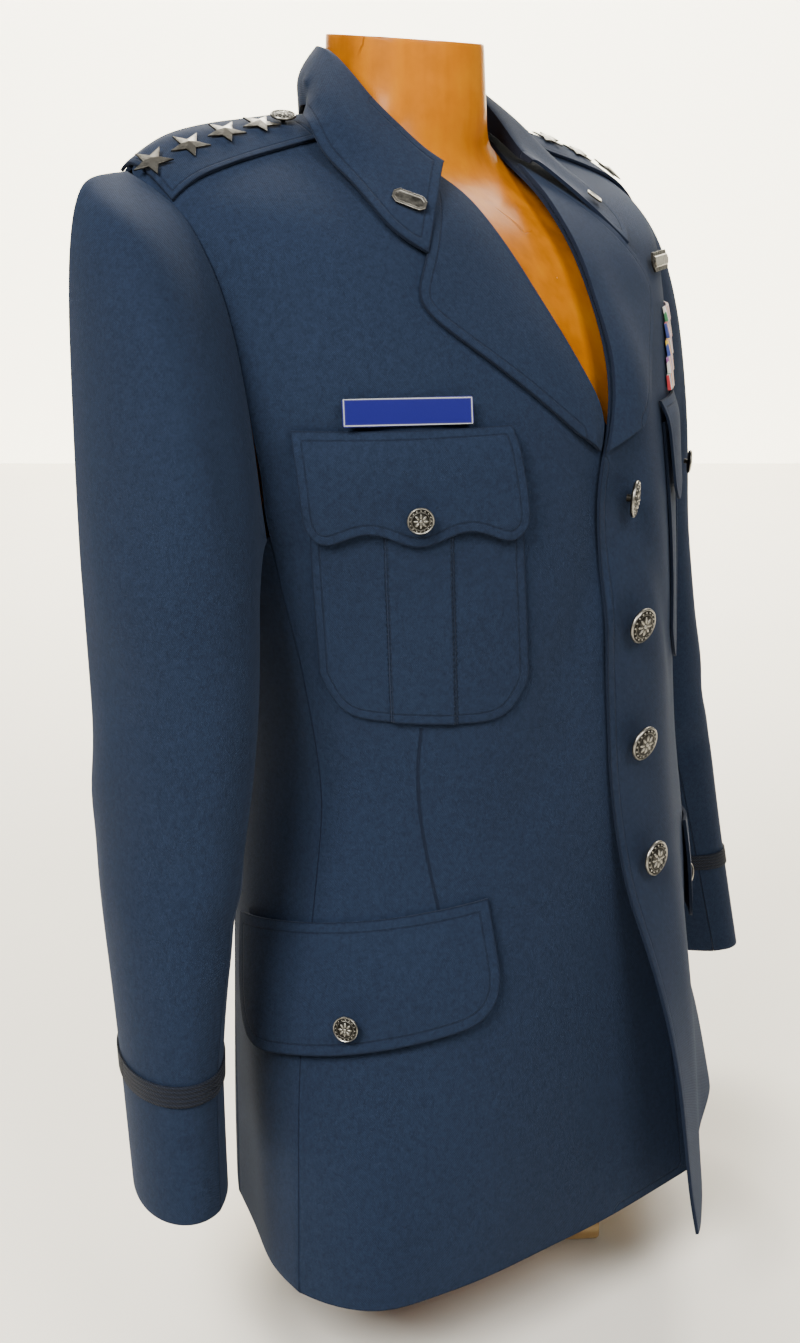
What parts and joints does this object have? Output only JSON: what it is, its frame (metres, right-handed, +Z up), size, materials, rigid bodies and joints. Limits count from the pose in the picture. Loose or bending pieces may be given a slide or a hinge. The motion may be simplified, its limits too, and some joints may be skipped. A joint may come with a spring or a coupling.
{
  "type": "military tunic on a torso dress form",
  "caption": "Dark blue officer's service tunic with patch pockets, silver buttons and shoulder stars, standing on a glossy limbless torso form with a pine base.",
  "frame": {"origin": "on the surface the part stands on, at the middle of the pine base, under the middle of the neck", "axes": "+Z up; the wearer faces -Y, so +X is the wearer's left"},
  "size_m": [0.61, 0.4219, 0.8101],
  "materials": {
    "blue_serge": "matt fine twill wool serge, dark blue",
    "braid": "ribbed dark blue mohair braid",
    "silver": "oxidised silver plate, rubbed bright on the raised parts",
    "plate_blue": "satin blue with a white edge line",
    "ribbon": "plain ribbed ribbon bars in invented colours",
    "amber_shellac": "glossy amber shellac with fine age cracks",
    "pine": "planed pale pine"
  },
  "bodies": {
    "root": {"back_left": "blue_serge", "back_right": "blue_serge", "base_block": "pine", "chest_badge": "silver", "chest_button_left": "silver", "chest_button_right": "silver", "chest_flap_left": "blue_serge", "chest_flap_right": "blue_serge", "chest_pocket_left": "blue_serge", "chest_pocket_right": "blue_serge", "collar": "blue_serge", "collar_pin_left": "silver", "collar_pin_right": "silver", "front_button_1": "silver", "front_button_2": "silver", "front_button_3": "silver", "front_button_4": "silver", "front_left": "blue_serge", "front_right": "blue_serge", "lapel_left": "blue_serge", "lapel_right": "blue_serge", "lower_button_left": "silver", "lower_button_right": "silver", "lower_flap_left": "blue_serge", "lower_flap_right": "blue_serge", "name_plate": "plate_blue", "ribbon_rack": "ribbon", "side_left": "blue_serge", "side_right": "blue_serge", "sleeve_braid_left": "braid", "sleeve_braid_right": "braid", "sleeve_top_left": "blue_serge", "sleeve_top_right": "blue_serge", "sleeve_under_left": "blue_serge", "sleeve_under_right": "blue_serge", "star_left_1": "silver", "star_left_2": "silver", "star_left_3": "silver", "star_left_4": "silver", "star_right_1": "silver", "star_right_2": "silver", "star_right_3": "silver", "star_right_4": "silver", "strap_button_left": "silver", "strap_button_right": "silver", "strap_left": "blue_serge", "strap_right": "blue_serge", "torso_form": "amber_shellac"}
  },
  "joints": []
}
